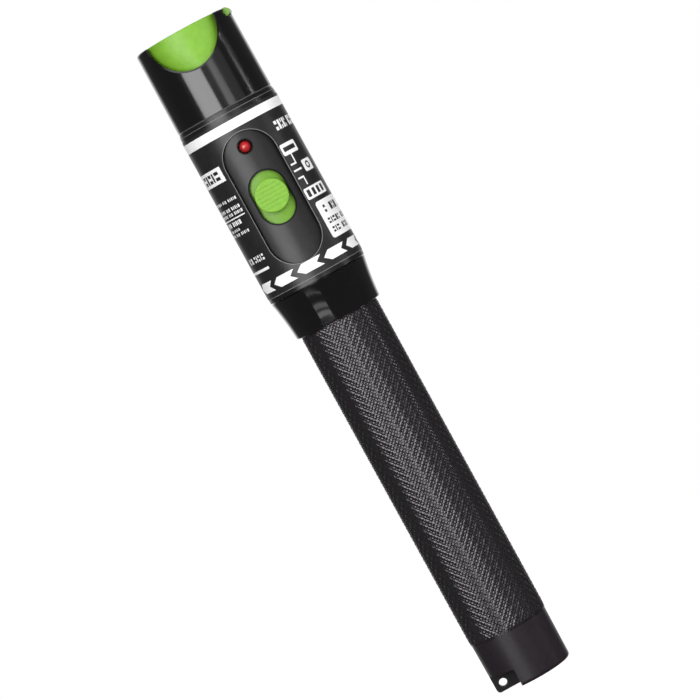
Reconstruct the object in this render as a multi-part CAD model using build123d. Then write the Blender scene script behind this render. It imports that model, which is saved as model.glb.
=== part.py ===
from build123d import *
from math import atan2, degrees, sqrt
import os

# A pen-shaped visual fault locator for optical fibre, standing on its tail.
# All lengths are millimetres. +Z runs along the pen to its nose, and the switch faces -Y.
# The cells set the barrel's bore and length, and the switch and lamp set the length of the head.

# Clearances
press_gap = 0.05
seat_gap = 0.02
thread_gap = 0.06
running_gap = 0.03
moving_gap = 0.3
parting_gap = 0.1

# Edge breaks
edge_break = 0.15
nose_low_chamfer = 0.25
collar_low_round = 0.4
tail_foot_round = 0.8

# Cells
cell_r = 7.25
cell_length = 50.5
cell_nub_r = 2.75
cell_nub_height = 1.0
cell_slack = 0.25

# Walls and steps of the outside, from the cells outwards
grip_wall = 2.6
neck_wall = 1.8
insert_room = 1.0
body_wall = 2.35
tail_top_step = 0.18
tail_taper = 0.17
collar_foot_step = 1.1
collar_top_step = 0.05
nose_low_step = 0.1
nose_taper = 0.15
nose_wall = 1.2

# Tail cap, with its web and lanyard hole
tail_height = 13.1
tail_floor = 6.0
tail_spigot_wall = 1.35
tail_spigot_height = 4.9
web_thickness = 2.3
web_roof_thick = 1.4
web_cut_edge = 3.8
lanyard_hole_r = 1.05
lanyard_hole_inset = 2.3
lanyard_hole_z = 1.9

# Contacts of the tail
tail_plate_inset = 0.9
tail_plate_thick = 0.5
spring_wire_r = 0.4
spring_inset = 1.2
spring_top_r = 3.2
spring_height = 3.1
spring_turns = 3

# Collar, and the tube's neck that passes through it into the head
collar_height = 10.3
collar_flare_at = 0.53
collar_flare_sag = 0.192
neck_above_parting = 5.8
neck_above_cells = 3.0

# Seal ring on the neck
seal_section_r = 0.5
seal_groove_width = 1.6
seal_groove_depth = 1.0
seal_above_parting = 0.7

# Threaded ring pressed into the body shell
insert_above_parting = 0.3
insert_past_neck = 0.4

# Label round the body
label_thick = 0.1
label_above_parting = 1.2
label_below_nose = 2.0

# Sloping shoulder at the top of the body shell
shoulder_slope_height = 1.0
shoulder_slope_step = 0.25

# Switch panel in its pocket
panel_inset = 0.75
panel_thick = 0.7
panel_ledge = 0.9
panel_above_parting = 5.3
panel_below_slot = 10.4
panel_above_lamp = 3.7
slot_step_width = 0.35
slot_step_depth = 0.35

# Slide switch and its button
switch_travel = 1.85
button_r = 4.05
button_proud = 0.05
button_skin = 0.9
button_edge_round = 0.35
button_rib_pitch = 1.0
button_rib_count = 6
button_rib_width = 0.35
button_rib_depth = 0.15
slot_side_gap = 0.2
slot_low_room = 1.1
slider_thick = 0.8
slider_cover = 0.05
slider_side_cover = 0.95
slider_side_gap = 0.6
lever_width = 2.0
lever_length = 3.0
lever_foot_length = 4.8
lever_foot_width = 4.0
lever_foot_thick = 1.2
switch_case_width = 6.5
switch_case_length = 11.2
switch_case_height = 3.3
switch_case_wall = 0.5
board_to_foot = 1.2

# Indicator lamp
lamp_r = 1.5
lamp_flange_r = 1.9
lamp_flange_height = 1.0
lamp_inset = 0.3
lamp_hole_gap = 0.25
lamp_to_slider = 0.85

# Circuit board, its screws and driver chip
board_depth = 4.5
board_thick = 1.0
board_side_gap = 0.7
board_low_gap = 0.6
board_high_gap = 0.4
board_above_lamp = 2.5
screw_side_inset = 1.9
screw_end_inset = 2.8
screw_head_r = 1.3
screw_head_height = 1.0
screw_shank_r = 0.8
screw_length = 5.0
screw_boss_r = 1.6
chip_width = 4.0
chip_height = 1.5
chip_length = 4.9
chip_end_inset = 1.15

# Carrier that holds the board and the laser
carrier_gap = 0.2
carrier_wall = 1.6
carrier_floor_thick = 1.5
carrier_roof_thick = 1.6
cradle_wall = 1.5
cradle_height = 4.3
wire_hole_r = 2.2

# Front battery contact, its insulator and the ground ring
contact_gap = 0.1
contact_head_r = 3.0
contact_head_height = 0.8
contact_stem_r = 1.2
contact_stem_above = 0.6
insulator_thick = 0.9
insulator_boss_inset = 0.9
insulator_boss_height = 2.2
ground_ring_gap = 0.5
ground_ring_thick = 0.5
ground_ring_inner_step = 0.4
ground_ring_outer_step = 0.1

# Laser module
laser_r = 4.6
diode_flange_r = 2.8
diode_flange_height = 1.2
diode_can_r = 2.35
diode_can_height = 2.2
diode_inset = 0.4
diode_room = 0.6
laser_waist_r = 1.5
laser_waist_length = 2.0
laser_mouth = 1.3
lens_r = 2.5
lens_height = 2.4
lens_face_rise = 0.6
lens_ring_height = 1.0
lens_ring_bore_r = 1.6
laser_gap = 0.2

# Ferrule port in the nose floor
floor_thick = 2.5
port_stem_r = 3.9
port_stem_end = 0.3
port_seat_thick = 0.85
port_flange_r = 5.6
port_flange_height = 1.2
port_barrel_r = 3.6
port_lip = 0.6
port_lip_r = 1.45
port_head_room = 6.0
sleeve_bore_r = 1.255
sleeve_r = 1.6
sleeve_length = 8.0
sleeve_slit = 0.4
port_nut_flats = 11.0
port_nut_height = 1.7

# Nose shell
nose_turn = -3.6
nose_bore_chamfer = 0.2
nose_top_round = 0.8
nose_cavity_step = 0.3
spigot_gap = 0.7
spigot_height = 4.7
spigot_wall = 0.85
shoulder_height = 2.0
ear_width = 3.5
scoop_above_floor = 1.25
scoop_rim_break = 0.4

# Hinge of the dust cap
knuckle_r = 1.05
knuckle_proud = 0.15
knuckle_end_skin = 0.7
tongue_half_width = 1.2
knuckle_half_width = 4.0
hinge_pin_r = 0.5
ear_notch_inset = 0.25
ear_swing_gap = 0.8

# Dust cap
cap_side_gap = 0.35
cap_swing_allowance = 0.08
cap_wall = 1.2
cap_roof = 1.5
cap_edge_round = 0.3
cap_hinge_relief_height = 2.2
cap_hinge_relief_width = 2.0

# Radii worked out from the cells outwards
tube_bore_r = cell_r + cell_slack
grip_r = tube_bore_r + grip_wall
neck_r = tube_bore_r + neck_wall
tail_top_r = grip_r - tail_top_step
tail_foot_r = tail_top_r - tail_taper
body_bore_r = neck_r + insert_room
body_r = body_bore_r + body_wall
collar_low_r = grip_r + collar_foot_step
collar_top_r = body_r - collar_top_step
collar_mid_r = collar_low_r + collar_flare_at * (collar_top_r - collar_low_r) - collar_flare_sag
nose_low_r = body_r - nose_low_step
nose_top_r = nose_low_r - nose_taper
nose_bore_r = nose_top_r - nose_wall
nose_cavity_r = nose_bore_r - nose_cavity_step
spigot_r = body_bore_r - press_gap
tail_plate_r = tube_bore_r - tail_plate_inset
spring_low_r = tail_plate_r - spring_inset
lanyard_hole_x = tail_foot_r - lanyard_hole_inset
web_cut_height = tail_floor - web_roof_thick

# Depths of the switch, the lamp and the board behind the body's face
panel_face_r = body_r - panel_inset
panel_seat_r = panel_face_r - panel_thick
slider_r = panel_seat_r - moving_gap
button_face_r = body_r + button_proud
lever_reach_r = button_face_r - button_skin
carrier_r = body_bore_r - carrier_gap
board_front_y = body_bore_r - board_depth
board_back_y = board_front_y - board_thick
board_width = 2 * (sqrt(body_bore_r ** 2 - board_front_y ** 2) - board_side_gap)
lamp_height = panel_face_r - lamp_inset - board_front_y
lamp_hole_r = lamp_r + lamp_hole_gap

# Heights of the barrel
grip_z = tail_height
spring_z = tail_floor + tail_plate_thick
cell_z = spring_z + spring_height
cell_stack_z = cell_z + 2 * cell_length
neck_z = cell_stack_z + neck_above_cells
parting_z = neck_z - neck_above_parting
collar_z = parting_z - collar_height

# Heights of the switch and lamp, and of the panel round them
body_z = parting_z + parting_gap
seal_z = body_z + seal_above_parting + seal_groove_width / 2
panel_low_z = body_z + panel_above_parting
slot_low_z = panel_low_z + panel_below_slot
button_z = slot_low_z + slot_low_room + switch_travel + button_r
slot_high_z = button_z + button_r + switch_travel + moving_gap
slider_length = 2 * (button_z - slot_low_z + switch_travel + slider_cover)
slider_width = 2 * (button_r + slot_side_gap + slider_side_cover)
lamp_z = button_z + slider_length / 2 + switch_travel + lamp_to_slider + lamp_r
panel_high_z = lamp_z + panel_above_lamp
panel_width = slider_width + 2 * (slider_side_gap + panel_ledge)
panel_length = panel_high_z - panel_low_z
panel_centre_z = (panel_low_z + panel_high_z) / 2

# Heights of the carrier and what stands on it
carrier_floor_z = neck_z + ground_ring_gap + ground_ring_thick + insulator_thick
board_low_z = carrier_floor_z + carrier_floor_thick + board_low_gap
board_high_z = lamp_z + board_above_lamp
carrier_roof_z = board_high_z + board_high_gap
carrier_top_z = carrier_roof_z + carrier_roof_thick
screw_x = board_width / 2 - screw_side_inset
screw_places = [(-screw_x, board_low_z + screw_end_inset), (screw_x, board_high_z - screw_end_inset)]
laser_z = carrier_top_z
laser_waist_z = diode_inset + diode_flange_height + diode_can_height + diode_room
lens_seat_z = laser_waist_z + laser_waist_length
laser_length = lens_seat_z + lens_height + lens_ring_height + laser_mouth

# Heights of the nose, its port and its hinge
nose_z = carrier_top_z + spigot_gap + spigot_height
port_low_z = laser_z + laser_length + laser_gap
floor_z = port_low_z + port_stem_end + port_nut_height
port_z = floor_z + floor_thick
sleeve_z = port_low_z + port_seat_thick
port_top_z = sleeve_z + sleeve_length + press_gap + port_lip
top_z = port_top_z + port_head_room
hinge_x = nose_top_r + knuckle_proud - knuckle_r
hinge_z = top_z - knuckle_r
ear_flat_x = hinge_x - knuckle_r - seat_gap
slot_floor_z = hinge_z - knuckle_r - moving_gap
slot_half_width = knuckle_half_width + moving_gap
scoop_low_z = port_z + scoop_above_floor
scoop_half_width = nose_top_r - ear_width
cap_r = nose_bore_r - cap_side_gap
cap_flat_x = hinge_x - knuckle_r - ear_swing_gap
cap_low_z = port_z + moving_gap


def turned(points):
    """A solid of revolution about Z from (radius, height) points in order."""
    outline = Polyline([(r, 0, z) for r, z in points], close=True)
    return revolve(make_face(outline), Axis.Z)


def ring(inner_r, outer_r, low_z, high_z):
    """A plain ring or tube about Z."""
    height = high_z - low_z
    hollow = Cylinder(inner_r, height + 2, align=(Align.CENTER, Align.CENTER, Align.CENTER))
    solid = Cylinder(outer_r, height, align=(Align.CENTER, Align.CENTER, Align.CENTER))
    return Pos(0, 0, (low_z + high_z) / 2) * (solid - hollow)


def disc(radius, low_z, high_z):
    """A plain round bar about Z."""
    return Pos(0, 0, low_z) * Cylinder(radius, high_z - low_z, align=(Align.CENTER, Align.CENTER, Align.MIN))


def block(low, high):
    """A box between two corners."""
    size = [b - a for a, b in zip(low, high)]
    middle = [(a + b) / 2 for a, b in zip(low, high)]
    return Pos(*middle) * Box(*size)


def front_slot(length, width, z, near_y, far_y):
    """An upright stadium prism that runs towards the switch side, from depth near_y to far_y."""
    outline = SlotOverall(length, width, rotation=90)
    return extrude(Plane.XZ.offset(near_y) * Pos(0, z) * outline, far_y - near_y)


def front_bar(radius, x, z, near_y, far_y):
    """A round bar along Y on the switch side, from depth near_y to far_y."""
    return extrude(Plane.XZ.offset(near_y) * Pos(x, z) * Circle(radius), far_y - near_y)


def cross_bar(radius, x, z, half_width):
    """A round bar along Y, centred on the XZ plane."""
    return Pos(x, 0, z) * Rot(90, 0, 0) * Cylinder(radius, 2 * half_width)


def edges_at(part, z, radius):
    """The full circles of a turned part at one height and radius."""
    circles = part.edges().filter_by(GeomType.CIRCLE).filter_by_position(Axis.Z, z - 0.01, z + 0.01)
    return [e for e in circles if abs(e.radius - radius) < 0.01]


# Barrel: tail cap, knurled battery tube and collar

def tail_cap():
    """Moulded tail, hollow for the cell, milled away each side of a web with a lanyard hole."""
    body = turned([
        (0, 0),
        (tail_foot_r, 0),
        (tail_top_r, tail_height),
        (tube_bore_r + tail_spigot_wall, tail_height),
        (tube_bore_r + tail_spigot_wall, tail_height + tail_spigot_height),
        (0, tail_height + tail_spigot_height),
    ])
    body = fillet(edges_at(body, 0, tail_foot_r), tail_foot_round)
    body -= disc(tube_bore_r, tail_floor, top_z)
    for side in (-1, 1):
        near = side * web_thickness / 2
        far = side * 2 * tail_foot_r
        body -= block((-2 * tail_foot_r, min(near, far), -1), (-web_cut_edge, max(near, far), web_cut_height))
    return body - cross_bar(lanyard_hole_r, -lanyard_hole_x, lanyard_hole_z, tail_foot_r)


def grip_tube():
    """Aluminium battery tube, open through, with a neck that carries the collar, seal and thread."""
    groove_r = neck_r - seal_groove_depth
    body = turned([
        (tube_bore_r, grip_z),
        (grip_r - edge_break, grip_z),
        (grip_r, grip_z + edge_break),
        (grip_r, collar_z),
        (neck_r, collar_z),
        (neck_r, neck_z - edge_break),
        (neck_r - edge_break, neck_z),
        (tube_bore_r, neck_z),
    ])
    socket_r = tube_bore_r + tail_spigot_wall + press_gap
    body -= disc(socket_r, grip_z - 1, grip_z + tail_spigot_height + press_gap)
    return body - ring(groove_r, grip_r, seal_z - seal_groove_width / 2, seal_z + seal_groove_width / 2)


def collar():
    """Bell-shaped ring that flares from the grip to the body, pressed over the tube's neck."""
    bore_r = neck_r + press_gap
    mid_z = collar_z + collar_flare_at * collar_height
    flare = ThreePointArc((collar_low_r, 0, collar_z), (collar_mid_r, 0, mid_z), (collar_top_r, 0, parting_z))
    rest = Polyline(
        (collar_top_r, 0, parting_z),
        (bore_r, 0, parting_z),
        (bore_r, 0, collar_z),
        (collar_low_r, 0, collar_z),
    )
    body = revolve(make_face(Curve() + [flare, rest]), Axis.Z)
    body = fillet(edges_at(body, collar_z, collar_low_r), collar_low_round)
    return chamfer(edges_at(body, parting_z, collar_top_r), edge_break)


def seal_ring():
    """Rubber ring in the groove of the neck."""
    middle_r = neck_r - seal_groove_depth + seat_gap + seal_section_r
    return Pos(0, 0, seal_z) * Torus(middle_r, seal_section_r)


def cell(low_z):
    """One AA cell, plus end up."""
    shoulder_z = low_z + cell_length - cell_nub_height
    can = disc(cell_r, low_z, shoulder_z)
    can = chamfer(edges_at(can, shoulder_z, cell_r), edge_break)
    return can + disc(cell_nub_r, shoulder_z, low_z + cell_length)


def tail_contact():
    """Plated plate on the tail floor that the spring stands on."""
    return disc(tail_plate_r, tail_floor, spring_z)


def tail_spring():
    """Conical wire spring that pushes the cells towards the nose."""
    low_z = spring_z + spring_wire_r + seat_gap
    rise = spring_height - 2 * spring_wire_r - 2 * seat_gap
    cone_angle = -degrees(atan2(spring_low_r - spring_top_r, rise))
    path = Pos(0, 0, low_z) * Helix(rise / spring_turns, rise, spring_low_r, cone_angle=cone_angle)
    section = Plane(origin=path @ 0, z_dir=path % 0) * Circle(spring_wire_r)
    return sweep(section, path=path, is_frenet=True)


# Head: shell, label, panel and what the shell holds

def body_shell():
    """Tube of the head, with a stepped pocket for the switch panel."""
    body = turned([
        (body_bore_r, body_z),
        (body_r - edge_break, body_z),
        (body_r, body_z + edge_break),
        (body_r, nose_z - shoulder_slope_height),
        (body_r - shoulder_slope_step, nose_z),
        (body_bore_r, nose_z),
    ])
    pocket = front_slot(panel_length, panel_width, panel_centre_z, 0, 2 * body_r)
    window = front_slot(
        panel_length - 2 * panel_ledge,
        panel_width - 2 * panel_ledge,
        panel_centre_z,
        0,
        2 * body_r,
    )
    return body - (pocket & ring(panel_seat_r, 2 * body_r, body_z, nose_z)) - window


def wrap_label():
    """Printed film round the shell, cut out round the panel."""
    low_z = body_z + label_above_parting
    film = ring(body_r + seat_gap, body_r + seat_gap + label_thick, low_z, nose_z - label_below_nose)
    return film - front_slot(panel_length, panel_width, panel_centre_z, 0, 2 * body_r)


def switch_panel():
    """Curved plate on the pocket's ledge, with the stepped switch slot and the lamp hole."""
    length = panel_length - 2 * press_gap
    width = panel_width - 2 * press_gap
    plate = front_slot(length, width, panel_centre_z, 0, 2 * body_r)
    plate &= ring(panel_seat_r + seat_gap, panel_face_r, body_z, nose_z)
    slot_length = slot_high_z - slot_low_z
    slot_width = 2 * (button_r + slot_side_gap)
    slot_z = (slot_low_z + slot_high_z) / 2
    plate -= front_slot(slot_length, slot_width, slot_z, 0, 2 * body_r)
    step = front_slot(slot_length + 2 * slot_step_width, slot_width + 2 * slot_step_width, slot_z, 0, 2 * body_r)
    plate -= step & ring(panel_face_r - slot_step_depth, 2 * body_r, body_z, nose_z)
    return plate - front_bar(lamp_hole_r, 0, lamp_z, 0, 2 * body_r)


def switch_button():
    """Round ribbed knob on a curved slider that always covers the slot from behind."""
    slider = front_slot(slider_length, slider_width, button_z, 0, 2 * body_r)
    slider &= ring(slider_r - slider_thick, slider_r, body_z, nose_z)
    knob = front_bar(button_r, 0, button_z, slider_r - slider_thick / 2, button_face_r)
    rim = knob.edges().filter_by(GeomType.CIRCLE).sort_by(Axis.Y)[0]
    knob = fillet(rim, button_edge_round)
    first_z = button_z - button_rib_pitch * (button_rib_count - 1) / 2
    for step in range(button_rib_count):
        groove_z = first_z + step * button_rib_pitch
        knob -= block(
            (-button_r, -button_face_r - 1, groove_z - button_rib_width / 2),
            (button_r, -button_face_r + button_rib_depth, groove_z + button_rib_width / 2),
        )
    button = slider + knob
    socket_half_x = lever_width / 2 + press_gap
    socket_half_z = lever_length / 2 + press_gap
    return button - block(
        (-socket_half_x, -lever_reach_r - press_gap, button_z - socket_half_z),
        (socket_half_x, 0, button_z + socket_half_z),
    )


def switch_lever():
    """Lever of the slide switch, with its foot inside the case."""
    foot_back_y = board_front_y + board_to_foot
    foot_front_y = foot_back_y + lever_foot_thick
    foot = block(
        (-lever_foot_width / 2, -foot_front_y, button_z - lever_foot_length / 2),
        (lever_foot_width / 2, -foot_back_y, button_z + lever_foot_length / 2),
    )
    return foot + block(
        (-lever_width / 2, -lever_reach_r, button_z - lever_length / 2),
        (lever_width / 2, -foot_back_y, button_z + lever_length / 2),
    )


def switch_case():
    """Metal case of the slide switch on the board, slotted for the lever."""
    front_y = board_front_y + switch_case_height
    half_x = switch_case_width / 2
    half_z = switch_case_length / 2
    inner_x = half_x - switch_case_wall
    inner_z = half_z - switch_case_wall
    slot_x = lever_width / 2 + moving_gap
    slot_z = lever_length / 2 + switch_travel + moving_gap
    back_y = board_front_y
    case = block((-half_x, -front_y, button_z - half_z), (half_x, -back_y, button_z + half_z))
    case -= block(
        (-inner_x, -front_y + switch_case_wall, button_z - inner_z),
        (inner_x, -back_y - switch_case_wall, button_z + inner_z),
    )
    return case - block((-slot_x, -front_y - 1, button_z - slot_z), (slot_x, -back_y - 1, button_z + slot_z))


def indicator_lamp():
    """Red lamp with a domed end, standing on the board behind the panel hole."""
    front_y = board_front_y + lamp_height
    body = front_bar(lamp_r, 0, lamp_z, board_front_y, front_y - lamp_r)
    body += Pos(0, -(front_y - lamp_r), lamp_z) * Sphere(lamp_r)
    return body + front_bar(lamp_flange_r, 0, lamp_z, board_front_y, board_front_y + lamp_flange_height)


def circuit_board():
    """Driver board, seated on the carrier's two edges."""
    board = block(
        (-board_width / 2, -board_front_y, board_low_z),
        (board_width / 2, -board_back_y, board_high_z),
    )
    for x, z in screw_places:
        board -= front_bar(screw_shank_r + press_gap, x, z, 0, 2 * body_r)
    return board


def board_screws():
    """Two screws that hold the board in the carrier."""
    screws = []
    for x, z in screw_places:
        head = front_bar(screw_head_r, x, z, board_front_y, board_front_y + screw_head_height)
        screws.append(head + front_bar(screw_shank_r, x, z, board_front_y - screw_length, board_front_y))
    return Compound(children=screws)


def driver_chip():
    """Driver chip on the board."""
    low_z = board_low_z + chip_end_inset
    return block(
        (-chip_width / 2, -board_front_y - chip_height, low_z),
        (chip_width / 2, -board_front_y, low_z + chip_length),
    )


def carrier():
    """Moulded trough behind the board, with a cradle for the laser on its roof."""
    body = disc(carrier_r, carrier_floor_z, carrier_top_z)
    body -= disc(carrier_r - carrier_wall, carrier_floor_z + carrier_floor_thick, carrier_roof_z)
    body -= block(
        (-2 * carrier_r, -2 * carrier_r, carrier_floor_z + carrier_floor_thick),
        (2 * carrier_r, -board_back_y, carrier_roof_z),
    )
    room_y = board_front_y + moving_gap
    body -= block((-2 * carrier_r, -2 * carrier_r, 0), (2 * carrier_r, -room_y, top_z))
    for x, z in screw_places:
        wall_y = sqrt((carrier_r - carrier_wall) ** 2 - x ** 2) + carrier_wall / 2
        hole_y = board_front_y - screw_length - press_gap
        body += front_bar(screw_boss_r, x, z, -wall_y, board_back_y)
        body -= front_bar(screw_shank_r + seat_gap, x, z, hole_y, 2 * body_r)
    cradle_r = laser_r + press_gap
    body += ring(cradle_r, cradle_r + cradle_wall, carrier_top_z, carrier_top_z + cradle_height)
    body -= disc(wire_hole_r, carrier_roof_z - 1, carrier_top_z + 1)
    rivet_z = carrier_floor_z + carrier_floor_thick
    return body - disc(contact_stem_r + press_gap, carrier_floor_z - 1, rivet_z + 1)


def front_contact():
    """Stud that meets the upper cell and is riveted over the carrier floor."""
    low_z = cell_stack_z + contact_gap
    rivet_z = carrier_floor_z + carrier_floor_thick
    stud = disc(contact_head_r, low_z, low_z + contact_head_height)
    stud += disc(contact_stem_r, low_z, rivet_z)
    return stud + disc(2 * contact_stem_r, rivet_z, rivet_z + contact_stem_above)


def contact_insulator():
    """Disc under the carrier that keeps the stud off the tube, with a boss in the tube's mouth."""
    low_z = carrier_floor_z - insulator_thick
    body = disc(carrier_r, low_z, carrier_floor_z)
    body += disc(tube_bore_r - insulator_boss_inset, low_z - insulator_boss_height, low_z)
    return body - disc(contact_stem_r + press_gap, 0, top_z)


def ground_ring():
    """Ring under the insulator that meets the rim of the tube."""
    high_z = carrier_floor_z - insulator_thick
    inner_r = tube_bore_r + ground_ring_inner_step
    outer_r = neck_r - ground_ring_outer_step
    return ring(inner_r, outer_r, high_z - ground_ring_thick, high_z)


def thread_insert():
    """Metal ring pressed into the shell, which takes the thread of the neck."""
    low_z = body_z + insert_above_parting
    return ring(neck_r + thread_gap, body_bore_r - press_gap, low_z, neck_z + insert_past_neck)


def laser_housing():
    """Brass barrel with a seat for the diode below and for the lens above."""
    body = disc(laser_r, laser_z, laser_z + laser_length)
    body = chamfer(edges_at(body, laser_z + laser_length, laser_r), edge_break)
    body -= disc(diode_flange_r + press_gap, laser_z - 1, laser_z + laser_waist_z)
    body -= disc(laser_waist_r, laser_z, laser_z + lens_seat_z + 1)
    return body - disc(lens_r + press_gap, laser_z + lens_seat_z, top_z)


def laser_diode():
    """Diode in its can, held in the back of the laser barrel."""
    low_z = laser_z + diode_inset
    high_z = low_z + diode_flange_height
    return disc(diode_flange_r, low_z, high_z) + disc(diode_can_r, high_z, high_z + diode_can_height)


def focus_lens():
    """Lens with one curved face, on its seat in the laser barrel."""
    low_z = laser_z + lens_seat_z
    face_r = (lens_r ** 2 + lens_face_rise ** 2) / (2 * lens_face_rise)
    ball = Pos(0, 0, low_z + lens_height - face_r) * Sphere(face_r)
    return disc(lens_r, low_z, low_z + lens_height) & ball


def lens_ring():
    """Ring that holds the lens down."""
    low_z = laser_z + lens_seat_z + lens_height
    return ring(lens_ring_bore_r, lens_r, low_z, low_z + lens_ring_height)


# Nose: ferrule port, shell with two finger scoops, and the hinged dust cap

def ferrule_port():
    """Plated port that guides a 2.5 mm ferrule, flanged on the nose floor."""
    body = turned([
        (0, port_low_z),
        (port_stem_r, port_low_z),
        (port_stem_r, port_z),
        (port_flange_r, port_z),
        (port_flange_r, port_z + port_flange_height),
        (port_barrel_r, port_z + port_flange_height),
        (port_barrel_r, port_top_z),
        (0, port_top_z),
    ])
    flange_rim = edges_at(body, port_z + port_flange_height, port_flange_r)
    body = chamfer(edges_at(body, port_top_z, port_barrel_r) + flange_rim, edge_break)
    body -= disc(sleeve_r + seat_gap, sleeve_z, port_top_z - port_lip)
    body -= disc(port_lip_r, port_top_z - port_lip - 1, port_top_z + 1)
    return body - disc(sleeve_bore_r / 2, port_low_z - 1, sleeve_z + 1)


def ceramic_sleeve():
    """Split ceramic sleeve that grips the ferrule."""
    tube = ring(sleeve_bore_r, sleeve_r, sleeve_z, sleeve_z + sleeve_length)
    return tube - block((0, -sleeve_slit / 2, 0), (2 * sleeve_r, sleeve_slit / 2, top_z))


def port_nut():
    """Hexagon nut under the nose floor."""
    low_z = floor_z - port_nut_height
    nut = Pos(0, 0, low_z) * extrude(RegularPolygon(port_nut_flats / sqrt(3), 6), port_nut_height)
    return nut - disc(port_stem_r + press_gap, 0, top_z)


def scoop_prism():
    """The half-round bite through both sides of the nose, along Y."""
    scoop_depth = top_z - scoop_low_z
    bite = Plane.XZ * Pos(0, top_z) * Ellipse(scoop_half_width, scoop_depth)
    above = block((-scoop_half_width, -2 * body_r, top_z), (scoop_half_width, 2 * body_r, top_z + 2))
    return extrude(bite, 2 * body_r, both=True) + above


def hinge_ear(shell):
    """Slots, corner notch and tongue of the hinge, in the ear on the +X side."""
    far_x = 2 * body_r
    shell += cross_bar(knuckle_r, hinge_x, hinge_z, tongue_half_width)
    for side in (-1, 1):
        near = side * tongue_half_width
        far = side * slot_half_width
        shell -= block((ear_flat_x - 2, min(near, far), slot_floor_z), (far_x, max(near, far), top_z + 1))
        edge = side * far_x
        shell -= block(
            (hinge_x - ear_notch_inset, min(far, edge), slot_floor_z),
            (far_x, max(far, edge), top_z + 1),
        )
    tongue_top = block(
        (ear_flat_x - 2, -tongue_half_width, hinge_z),
        (far_x, tongue_half_width, top_z + 1),
    )
    shell -= tongue_top - cross_bar(knuckle_r, hinge_x, hinge_z, body_r)
    return shell - cross_bar(hinge_pin_r + running_gap, hinge_x, hinge_z, body_r)


def nose_shell():
    """Gloss shell over the port, with a spigot in the body, a floor, two scoops and the hinge ear."""
    shell = turned([
        (spigot_r - spigot_wall, nose_z - spigot_height),
        (spigot_r, nose_z - spigot_height),
        (spigot_r, nose_z),
        (nose_low_r - nose_low_chamfer, nose_z),
        (nose_low_r, nose_z + nose_low_chamfer),
        (nose_top_r, top_z),
        (nose_bore_r + nose_bore_chamfer, top_z),
        (nose_bore_r, top_z - nose_bore_chamfer),
        (nose_bore_r, port_z),
        (port_stem_r + press_gap, port_z),
        (port_stem_r + press_gap, floor_z),
        (nose_cavity_r, floor_z),
        (nose_cavity_r, nose_z + shoulder_height),
        (spigot_r - spigot_wall, nose_z + shoulder_height),
    ])
    boss = disc(nose_bore_r + press_gap, port_z - press_gap, top_z)
    boss &= block((ear_flat_x, -body_r, 0), (2 * body_r, body_r, top_z))
    shell += boss
    scoops = scoop_prism() - disc(nose_bore_r - 1, 0, top_z + 2)
    shell -= scoops
    rims = shell.edges().filter_by(GeomType.BSPLINE).sort_by(Axis.Y)
    shell = chamfer([rims[0], rims[-1]], scoop_rim_break)
    envelope = turned([(0, 0), (body_r, 0), (body_r, nose_z), (nose_low_r, nose_z), (nose_top_r, top_z), (0, top_z)])
    shell &= fillet(edges_at(envelope, top_z, nose_top_r), nose_top_round)
    shell = hinge_ear(shell)
    return Rot(0, 0, nose_turn) * shell


def cap_form(radius, flat_x, low_z, high_z):
    """A round plug with one flat, shaped so that it swings out of the bore about the hinge."""
    swing = Pos(hinge_x, 0, hinge_z) * Rot(90, 0, 0) * Torus(hinge_x, radius + cap_swing_allowance)
    plug = disc(radius, low_z, high_z) & block((-body_r, -body_r, 0), (flat_x, body_r, top_z + 1))
    return plug & swing


def dust_cap():
    """Hollow green cap with two knuckles that straddle the tongue of the ear."""
    cap = cap_form(cap_r, cap_flat_x, cap_low_z, top_z)
    rim = cap.edges().filter_by(GeomType.CIRCLE).filter_by_position(Axis.Z, top_z - 0.01, top_z + 0.01)
    cap = fillet(rim, cap_edge_round)
    cap -= cap_form(cap_r - cap_wall, cap_flat_x - cap_wall, 0, top_z - cap_roof)
    cap -= block(
        (cap_flat_x - cap_hinge_relief_width, -body_r, 0),
        (2 * body_r, body_r, cap_low_z + cap_hinge_relief_height),
    )
    arm_low = tongue_half_width + moving_gap
    for side in (-1, 1):
        near = side * arm_low
        far = side * knuckle_half_width
        low_y = min(near, far)
        high_y = max(near, far)
        knuckle = cross_bar(knuckle_r, hinge_x, hinge_z, body_r)
        knuckle &= block((0, low_y, 0), (2 * body_r, high_y, top_z + 1))
        cap += knuckle
        cap += block((cap_flat_x - cap_wall, low_y, top_z - cap_roof), (hinge_x, high_y, top_z))
    pin_end = knuckle_half_width - knuckle_end_skin + moving_gap
    bore = cross_bar(hinge_pin_r + seat_gap, hinge_x, hinge_z, body_r)
    cap -= bore & block((0, -pin_end, 0), (2 * body_r, 2 * body_r, 2 * top_z))
    return Rot(0, 0, nose_turn) * cap


def hinge_pin():
    """Steel pin pushed in from the back, through one knuckle and the tongue into the other."""
    pin = cross_bar(hinge_pin_r, hinge_x, hinge_z, knuckle_half_width)
    pin_end = knuckle_half_width - knuckle_end_skin
    return Rot(0, 0, nose_turn) * (pin & block((0, -pin_end, 0), (2 * body_r, body_r, 2 * top_z)))


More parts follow.
